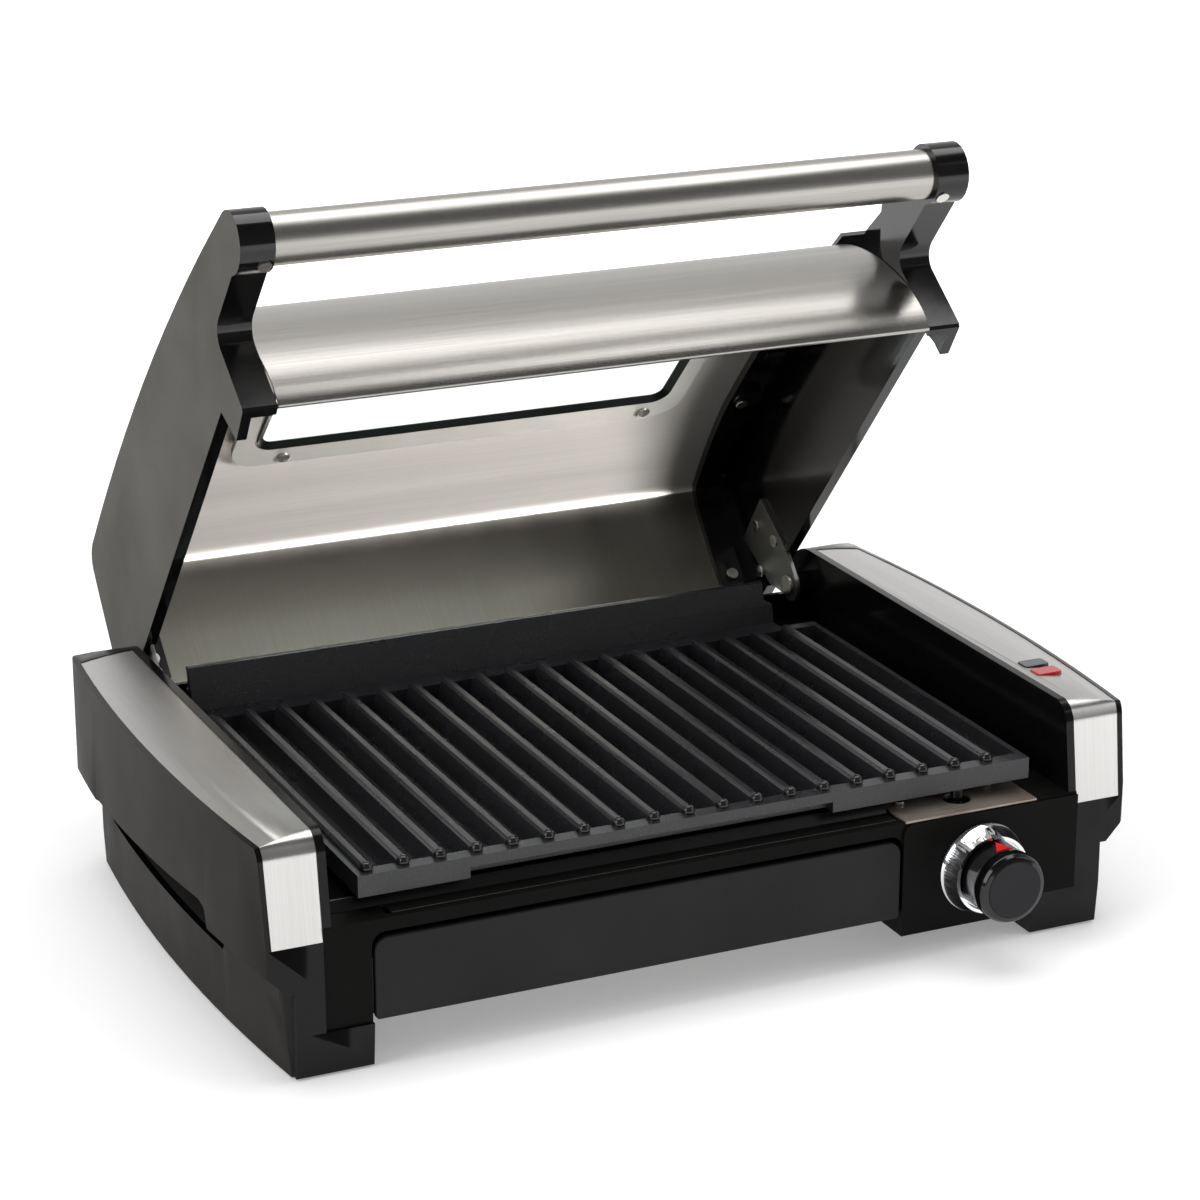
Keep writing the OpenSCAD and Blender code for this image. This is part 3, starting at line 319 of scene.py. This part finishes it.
# Darker copy of the hood's steel for the back of its inside: painted shade in its colour.
HOOD_REAR_PAINTED_SHADE = brushed_metal("steel brushed down the lid's back, painted darker", rgb(146, 142, 135), 0.34, "Y",
                          run=LID_UP)
WINDOW_RING = brushed_metal("window ring brushed along x", rgb(172, 170, 165), 0.42, "X",
                            metal=0.7)
GLASS_EDGE = gloss_plastic("dark edge of the glass", rgb(18, 28, 20), 0.3)
NUB_GLOSS = gloss_plastic("glossy nubs", rgb(30, 30, 32), 0.08)
# Nodes brushed along X although their slot's finish runs another way
BRUSHED_ALONG_X = {"visor": VISOR_STEEL, "handle_tube": VISOR_STEEL, "hood": HOOD_STEEL_PAINTED_LIGHT,
                   "window_frame": WINDOW_RING}

# ---------------------------------------------------------------- the open lid
# In millimetres: the hinge in the room, the hinge on the lid, and the lid's crown
HINGE_Y, HINGE_Z = 117.1, 88.1
HINGE_RUN, HINGE_RISE = 201.66, -12.35
CROWN_TOP, CROWN_RUN, CROWN_RADIUS = 77.7, 180, 1130
LID_COS, LID_SIN = 0.64761, 0.76197   # of the opening angle


def lid_run(places):
    """How far back along the lid the places lie, in metres from the foot of its arms."""
    return (HINGE_RUN * MM + (places[:, 1] - HINGE_Y * MM) * LID_COS
            - (places[:, 2] - HINGE_Z * MM) * LID_SIN)


def lid_to_room(across, run, rise):
    """Places of the lid's points, given in millimetres across, back along it and up from it."""
    back, up = run - HINGE_RUN, rise - HINGE_RISE
    return np.stack(np.broadcast_arrays(across, HINGE_Y + back * LID_COS + up * LID_SIN,
                                        HINGE_Z - back * LID_SIN + up * LID_COS), -1) * MM


def crown(run):
    """Rise of the lid's crown, a parabola for its large radius."""
    return CROWN_TOP - (CROWN_RUN - run) ** 2 / (2 * CROWN_RADIUS)


# ---------------------------------------------------------------- pieces
SHARP_DEGREES = 32           # edges that are sharper than this are rounded
FLAT_DEGREES = 0.6           # faces that differ by less are merged
SAME_POINT = 0.002 * MM


def finish_piece(piece, node, finish=None):
    """Gives a piece its finish, slot and body."""
    piece.data.materials.clear()
    piece.data.materials.append(finish or BRUSHED_ALONG_X.get(node) or FINISH[SLOT_OF[node]])
    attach(piece, BODY_OF[node])


def smooth_by_angle(mesh, degrees):
    """Smooth faces, with the edges sharper than the angle kept as edges."""
    bm = bmesh.new()
    bm.from_mesh(mesh)
    limit = math.radians(degrees)
    for face in bm.faces:
        face.smooth = True
    for edge in bm.edges:
        edge.smooth = len(edge.link_faces) == 2 and edge.calc_face_angle(0) < limit
    bm.to_mesh(mesh)
    bm.free()


def rounded_copy(node, width, second=None, picks=None):
    """A copy of a node, its flat faces merged and its edges rounded.

    The faces that picks (middles, normals) finds get the second finish.
    """
    mesh = frame["nodes"][node].data.copy()
    bm = bmesh.new()
    bm.from_mesh(mesh)
    bmesh.ops.remove_doubles(bm, verts=bm.verts, dist=SAME_POINT)
    bmesh.ops.dissolve_limit(bm, angle_limit=math.radians(FLAT_DEGREES), verts=bm.verts,
                             edges=bm.edges)
    bm.to_mesh(mesh)
    bm.free()
    smooth_by_angle(mesh, SHARP_DEGREES)
    piece = bpy.data.objects.new(node + "_rounded", mesh)
    bpy.context.scene.collection.objects.link(piece)
    finish_piece(piece, node)
    if second is not None:
        mesh.materials.append(second)
        middles = np.empty(len(mesh.polygons) * 3, np.float32)
        normals = np.empty_like(middles)
        mesh.polygons.foreach_get("center", middles)
        mesh.polygons.foreach_get("normal", normals)
        chosen = picks(middles.reshape(-1, 3), normals.reshape(-1, 3))
        mesh.polygons.foreach_set("material_index", chosen.astype(np.int32))
    bevel = piece.modifiers.new("rounded edges", "BEVEL")
    bevel.width = width
    bevel.segments = 2
    bevel.limit_method = "ANGLE"
    bevel.angle_limit = math.radians(SHARP_DEGREES)
    bevel.harden_normals = True
    bevel.use_clamp_overlap = True
    bevel.miter_outer = "MITER_ARC"
    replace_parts(piece, node)


def grid_mesh(name, points, loop_u=False, loop_v=False):
    """A mesh over a grid of points (rows, columns, 3), joined round where a loop is asked for."""
    rows, columns = points.shape[:2]
    index = np.arange(rows * columns).reshape(rows, columns)
    if loop_u:
        index = np.vstack([index, index[:1]])
    if loop_v:
        index = np.hstack([index, index[:, :1]])
    faces = np.stack([index[:-1, :-1], index[:-1, 1:], index[1:, 1:], index[1:, :-1]], -1)
    faces = faces.reshape(-1, 4)
    mesh = bpy.data.meshes.new(name)
    mesh.vertices.add(rows * columns)
    mesh.vertices.foreach_set("co", np.ascontiguousarray(points, np.float32).reshape(-1))
    mesh.loops.add(faces.size)
    mesh.loops.foreach_set("vertex_index", faces.reshape(-1).astype(np.int32))
    mesh.polygons.add(len(faces))
    mesh.polygons.foreach_set("loop_start", np.arange(0, faces.size, 4, dtype=np.int32))
    mesh.update(calc_edges=True)
    return mesh


def close_ends(mesh):
    """Fills the open ends of a tube and turns all faces outwards."""
    bm = bmesh.new()
    bm.from_mesh(mesh)
    bmesh.ops.remove_doubles(bm, verts=bm.verts, dist=1e-7)
    bmesh.ops.holes_fill(bm, edges=[e for e in bm.edges if len(e.link_faces) == 1], sides=0)
    bmesh.ops.recalc_face_normals(bm, faces=bm.faces)
    bm.to_mesh(mesh)
    bm.free()


def place_piece(name, mesh, node, finish, degrees):
    """Puts a mesh in the scene, on the node's body and in its slot."""
    smooth_by_angle(mesh, degrees)
    piece = bpy.data.objects.new(name, mesh)
    bpy.context.scene.collection.objects.link(piece)
    finish_piece(piece, node, finish)
    return piece


def sheet_outline(middle, thick):
    """The closed outline of a sheet of even thickness along a middle line."""
    way = np.gradient(middle, axis=0)
    way /= np.linalg.norm(way, axis=1)[:, None]
    off = np.stack([way[:, 1], -way[:, 0]], 1) * thick / 2
    return np.concatenate([middle - off, (middle + off)[::-1]])


# The visor in millimetres; its points are run and rise on the lid
VISOR_CURVE = ((-24.1, -15.4), (-30.0, 11.8), (3.2, 62.0), (26.0, 66.5))
VISOR_LAP = ((6.0, 0.8), (12.0, 1.6))   # from the curve's end
VISOR_THICK = 0.8
HEM_RADIUS, HEM_RISE = 1.0, 0.3
HEM_FROM, HEM_TO = 168, -60  # degrees
FREE_RUN = 8                 # the lid sides' flanges begin just behind this
VISOR_HALF = (155.6, 154.65)   # half its width in front of that and behind it


def make_visor():
    """Sheet along b(t) = p0 (1-t)^3 + 3 p1 t (1-t)^2 + 3 p2 t^2 (1-t) + p3 t^3 for four points,
    then straight on under the hood's front edge. At its lower end the sheet turns back on
    itself in a small round hem."""
    t = np.linspace(0, 1, 41)[:, None]
    p = np.array(VISOR_CURVE)
    curve = (p[0] * (1 - t) ** 3 + 3 * p[1] * t * (1 - t) ** 2 + 3 * p[2] * t ** 2 * (1 - t)
             + p[3] * t ** 3)
    lap = curve[-1] + np.array(VISOR_LAP)
    turn = np.radians(np.linspace(HEM_FROM, HEM_TO, 13))[:, None]
    hem = (curve[0] + np.array([HEM_RADIUS, HEM_RISE])
           + HEM_RADIUS * np.hstack([np.cos(turn), -np.sin(turn)])[::-1])
    middle = np.concatenate([hem[:-1], curve[1:], lap])
    half = np.where(middle[:, 0] < FREE_RUN, *VISOR_HALF)
    half = np.concatenate([half, half[::-1]])
    outline = sheet_outline(middle, VISOR_THICK)
    share = np.linspace(-1, 1, 61)[:, None]
    points = lid_to_room(share * half, outline[:, 0], outline[:, 1])
    mesh = grid_mesh("visor_sheet", points, loop_v=True)
    close_ends(mesh)
    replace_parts(place_piece("visor_sheet", mesh, "visor", None, 50), "visor")


# The dark edge in millimetres: half width and run of the opening that it lines, its corners,
# and the band's four outlines as inset from the opening and depth below the crown
WINDOW_HALF, WINDOW_FRONT, WINDOW_BACK = 107.6, 46.4, 142.6
WINDOW_CORNER = 9.0
EDGE_OUTLINES = ((0.0, 5.9), (0.0, 8.6), (3.4, 6.2), (3.4, 5.9))


def window_ring(inset, depth):
    """The opening's outline drawn in by inset, at a depth below the crown."""
    count = 13               # points round each corner
    turns = np.arange(4 * count) // count * 90 + np.tile(np.linspace(0, 90, count), 4)
    turns = np.radians(turns)
    sides = np.repeat(np.array([(1, 1), (-1, 1), (-1, -1), (1, -1)]), count, axis=0)
    radius = WINDOW_CORNER - inset
    half_run = (WINDOW_BACK - WINDOW_FRONT) / 2
    across = sides[:, 0] * (WINDOW_HALF - inset - radius) + radius * np.cos(turns)
    run = ((WINDOW_FRONT + WINDOW_BACK) / 2 + sides[:, 1] * (half_run - inset - radius)
           + radius * np.sin(turns))
    return lid_to_room(across, run, crown(run) - depth)


def make_window_edge():
    """The glass's dark bevelled edge inside the ring, a closed band between four outlines."""
    rows = [window_ring(inset, depth) for inset, depth in EDGE_OUTLINES]
    mesh = grid_mesh("window_edge", np.stack(rows), loop_u=True, loop_v=True)
    close_ends(mesh)
    place_piece("window_edge", mesh, "window_gasket", GLASS_EDGE, 30)


# The ribs and the nubs at their front ends, in millimetres
RIB_FIRST, RIB_PITCH, RIB_COUNT = -154.3, 16.4, 19
NUB_RADIUS, NUB_Y, NUB_FOOT = 2.9, -118.9, 83.0


def make_nubs():
    """Glossy domes on the front ends of the ribs, each r (sin a cos b, sin a sin b, cos a)
    above its foot, with a from 0 to 90 degrees and b once round."""
    across = RIB_FIRST + RIB_PITCH * np.arange(RIB_COUNT)
    a = np.radians(np.linspace(0, 90, 8))[1:, None]
    b = np.radians(np.arange(0, 360, 20))[None, :]
    dome = NUB_RADIUS * np.stack(np.broadcast_arrays(np.sin(a) * np.cos(b), np.sin(a) * np.sin(b),
                                                     np.cos(a)), -1)
    whole = bmesh.new()
    for x in across:
        mesh = grid_mesh("nub", (dome + (x, NUB_Y, NUB_FOOT)) * MM, loop_v=True)
        close_ends(mesh)
        whole.from_mesh(mesh)
        bpy.data.meshes.remove(mesh)
    mesh = bpy.data.meshes.new("rib_nubs")
    whole.to_mesh(mesh)
    whole.free()
    place_piece("rib_nubs", mesh, "grill_plate", NUB_GLOSS, 50)


# Width of each node's rounded edges in millimetres
ROUNDED = {
    "base_frame": 0.7, "left_housing": 1.0, "right_housing": 1.0,
    "left_strip": 0.3, "right_strip": 0.3, "left_lid_side": 0.9, "right_lid_side": 0.9,
    "tray_front": 0.6, "grill_plate": 0.45, "hood": 0.2, "window_frame": 0.6,
    "knob_bezel": 0.3, "knob": 0.4, "sensor_bracket": 0.2, "left_clamp_rail": 0.5,
    "right_clamp_rail": 0.5, "left_hinge_plate": 0.25, "right_hinge_plate": 0.25,
    "power_lens": 0.5, "ready_lens": 0.5, "hinge_screws": 0.4, "bracket_screws": 0.4,
    "rail_screws": 0.4, "window_screws": 0.4, "hinge_pins": 0.4, "heat_shield": 0.3,
    "drip_tray": 0.4, "rear_panel": 0.4, "cord_gland": 0.6, "rubber_feet": 0.3,
    "handle_tube": 0.2, "window_glass": 0.3, "window_gasket": 0.3, "sensor_plunger": 0.3,
    "hinge_bushes": 0.3,
}
OUTER_FACE = 0.98            # a normal's share to the side on the lid sides' flat outer faces
BOWED_FACE = 0.7             # the same on the housings' bowed ones
HOOD_BACK_RUN = 0.2265       # metres; behind this the hood's sheet is its back
NUB_LOW, NUB_REAR = 0.0823, -0.1155   # metres; the plate's nubs are above and before these
# Second finish of some nodes, and the faces that get it, from their middles and normals
PICKED = {
    "left_lid_side": (FINISH["gloss_black"], lambda m, n: n[:, 0] > -OUTER_FACE),
    "right_lid_side": (FINISH["gloss_black"], lambda m, n: n[:, 0] < OUTER_FACE),
    "left_housing": (HOUSING_SIDE, lambda m, n: n[:, 0] < -BOWED_FACE),
    "right_housing": (HOUSING_SIDE, lambda m, n: n[:, 0] > BOWED_FACE),
    # The hood's back gets the darker copy with painted shade.
    "hood": (HOOD_REAR_PAINTED_SHADE, lambda m, n: lid_run(m) > HOOD_BACK_RUN),
    "grill_plate": (NUB_GLOSS, lambda m, n: (m[:, 2] > NUB_LOW) & (m[:, 1] < NUB_REAR)),
}


def finish_nodes():
    """Every node but the visor gets a rounded copy or, inside, its finish."""
    for node, piece in frame["nodes"].items():
        if node in ROUNDED:
            rounded_copy(node, ROUNDED[node] * MM, *PICKED.get(node, ()))
        elif node != "visor":
            piece.data.materials.clear()
            piece.data.materials.append(FINISH[SLOT_OF[node]])


def finish_hood_outside():
    """The hood's outer face has the visor's finish."""
    mesh = bpy.data.objects["hood_rounded"].data
    mesh.materials.append(VISOR_STEEL)
    normals = np.empty(len(mesh.polygons) * 3, np.float32)
    slots = np.empty(len(mesh.polygons), np.int32)
    mesh.polygons.foreach_get("normal", normals)
    mesh.polygons.foreach_get("material_index", slots)
    slots[normals.reshape(-1, 3) @ np.array(LID_UP) > 0.5] = 2
    mesh.polygons.foreach_set("material_index", slots)


# ---------------------------------------------------------------- stage and light
FLOOR_SIZE = 14.0
GLOW_NEAR = 0.25          # what the camera and gloss see of the floor's own glow at the object
GLOW_FROM, GLOW_TO = 0.55, 1.3   # metres from the middle; between them the glow grows to 1
ROOM_LEVEL = 0.42         # light of the room on the object
BACK_LEVEL = 0.9          # what gloss sees behind the object
FRONT_LEVEL = 0.15        # what gloss sees behind the camera
FRONT_WAY, BACK_WAY = -0.25, 0.35   # Y of a way; between them the level goes over
OVERHEAD_SHARE = 0.4      # share of the level straight overhead
LOW_WAY, HIGH_WAY = 0.25, 0.9       # Z of a way; between them it falls to that share
# Soft boxes: name, place, target, width and height in metres, watts
LAMPS = (
    ("top light", (0.1, 0.3, 1.9), (0, 0, 0.1), 2.2, 1.2, 26),
    ("left light", (-1.9, -0.5, 1.1), (0, 0, 0.1), 0.9, 1.5, 14),
    ("right light", (1.7, -1.2, 1.0), (0, 0, 0.1), 0.7, 1.4, 6),
    ("light into the lid", (0.82, -1.35, 0.3), (0, 0.17, 0.17), 0.4, 0.4, 54),
)
LIT_INSIDE = ("hood_rounded", "window_frame_rounded")   # all that the last one lights


def make_floor():
    """A square on the table's plane."""
    half = FLOOR_SIZE / 2
    mesh = bpy.data.meshes.new("floor")
    mesh.from_pydata([(-half, -half, 0), (half, -half, 0), (half, half, 0), (-half, half, 0)], [],
                     [(0, 1, 2, 3)])
    mesh.materials.append(white_floor())
    floor = bpy.data.objects.new("floor", mesh)
    bpy.context.scene.collection.objects.link(floor)


def white_floor():
    """White to the camera and in gloss and glass, with the object's own shadow kept."""
    n = Nodes("white floor")
    n.set(colour=(0.9, 0.9, 0.9, 1), rough=0.9, specular=0.0)
    glow = n.add("ShaderNodeEmission")
    rays = n.add("ShaderNodeLightPath")
    reflected = n.math("MAXIMUM", rays.outputs["Is Glossy Ray"],
                       rays.outputs["Is Transmission Ray"])
    seen = n.math("MAXIMUM", rays.outputs["Is Camera Ray"], reflected)
    away = n.add("ShaderNodeVectorMath", operation="LENGTH")
    n.join(n.place, away.inputs[0])
    level = n.span(away.outputs["Value"], GLOW_NEAR, 1.0, GLOW_FROM, GLOW_TO)
    n.join(n.math("MULTIPLY", seen, level), glow.inputs["Strength"])
    both = n.add("ShaderNodeAddShader")
    n.join(n.shader.outputs[0], both.inputs[0])
    n.join(glow.outputs[0], both.inputs[1])
    n.join(both.outputs[0], n.out.inputs["Surface"])
    return n.material


def make_room():
    """Even light for the object; gloss sees a room that is bright behind and dim in front."""
    world = bpy.data.worlds.new("studio")
    world.use_nodes = True
    tree = world.node_tree
    tree.nodes.clear()

    def add(kind, *values, **settings):
        """A node with its inputs set or joined in their order; its first output."""
        node = tree.nodes.new(kind)
        for key, value in settings.items():
            setattr(node, key, value)
        for socket, value in zip(node.inputs, values):
            if hasattr(value, "is_output"):
                tree.links.new(value, socket)
            elif value is not None:
                socket.default_value = value
        return node.outputs[0] if node.outputs else None

    rays = tree.nodes.new("ShaderNodeLightPath").outputs
    way = tree.nodes.new("ShaderNodeSeparateXYZ")
    tree.links.new(tree.nodes.new("ShaderNodeTexCoord").outputs["Generated"], way.inputs[0])
    behind = add("ShaderNodeMapRange", way.outputs["Y"], FRONT_WAY, BACK_WAY,
                 FRONT_LEVEL, BACK_LEVEL)
    overhead = add("ShaderNodeMapRange", way.outputs["Z"], LOW_WAY, HIGH_WAY,
                   1.0, OVERHEAD_SHARE)
    in_gloss = add("ShaderNodeMath", behind, overhead, operation="MULTIPLY")
    on_object = add("ShaderNodeMix", rays["Is Glossy Ray"], None, ROOM_LEVEL, in_gloss)
    plain = add("ShaderNodeMath", rays["Is Camera Ray"], rays["Is Transmission Ray"],
                operation="MAXIMUM")
    level = add("ShaderNodeMix", plain, None, on_object, 1.0)
    add("ShaderNodeOutputWorld", add("ShaderNodeBackground", (1.0, 1.0, 1.0, 1.0), level))
    bpy.context.scene.world = world


def soft_box(name, place, target, wide, high, watts):
    """A rectangular lamp that faces its target."""
    data = bpy.data.lights.new(name, "AREA")
    data.shape = "RECTANGLE"
    data.size = wide
    data.size_y = high
    data.energy = watts
    lamp = bpy.data.objects.new(name, data)
    lamp.location = place
    lamp.rotation_euler = (Vector(target) - Vector(place)).to_track_quat("-Z", "Y").to_euler()
    bpy.context.scene.collection.objects.link(lamp)
    return lamp


def only_for(lamp, pieces):
    """Keeps a lamp's light to some pieces."""
    group = bpy.data.collections.new(lamp.name + " receivers")
    for piece in pieces:
        group.objects.link(piece)
    lamp.light_linking.receiver_collection = group


make_camera()
finish_nodes()
finish_hood_outside()
make_visor()
make_window_edge()
make_nubs()
make_floor()
make_room()
lamps = [soft_box(*lamp) for lamp in LAMPS]
only_for(lamps[-1], [bpy.data.objects[name] for name in LIT_INSIDE])
bpy.context.scene.view_settings.view_transform = "Standard"
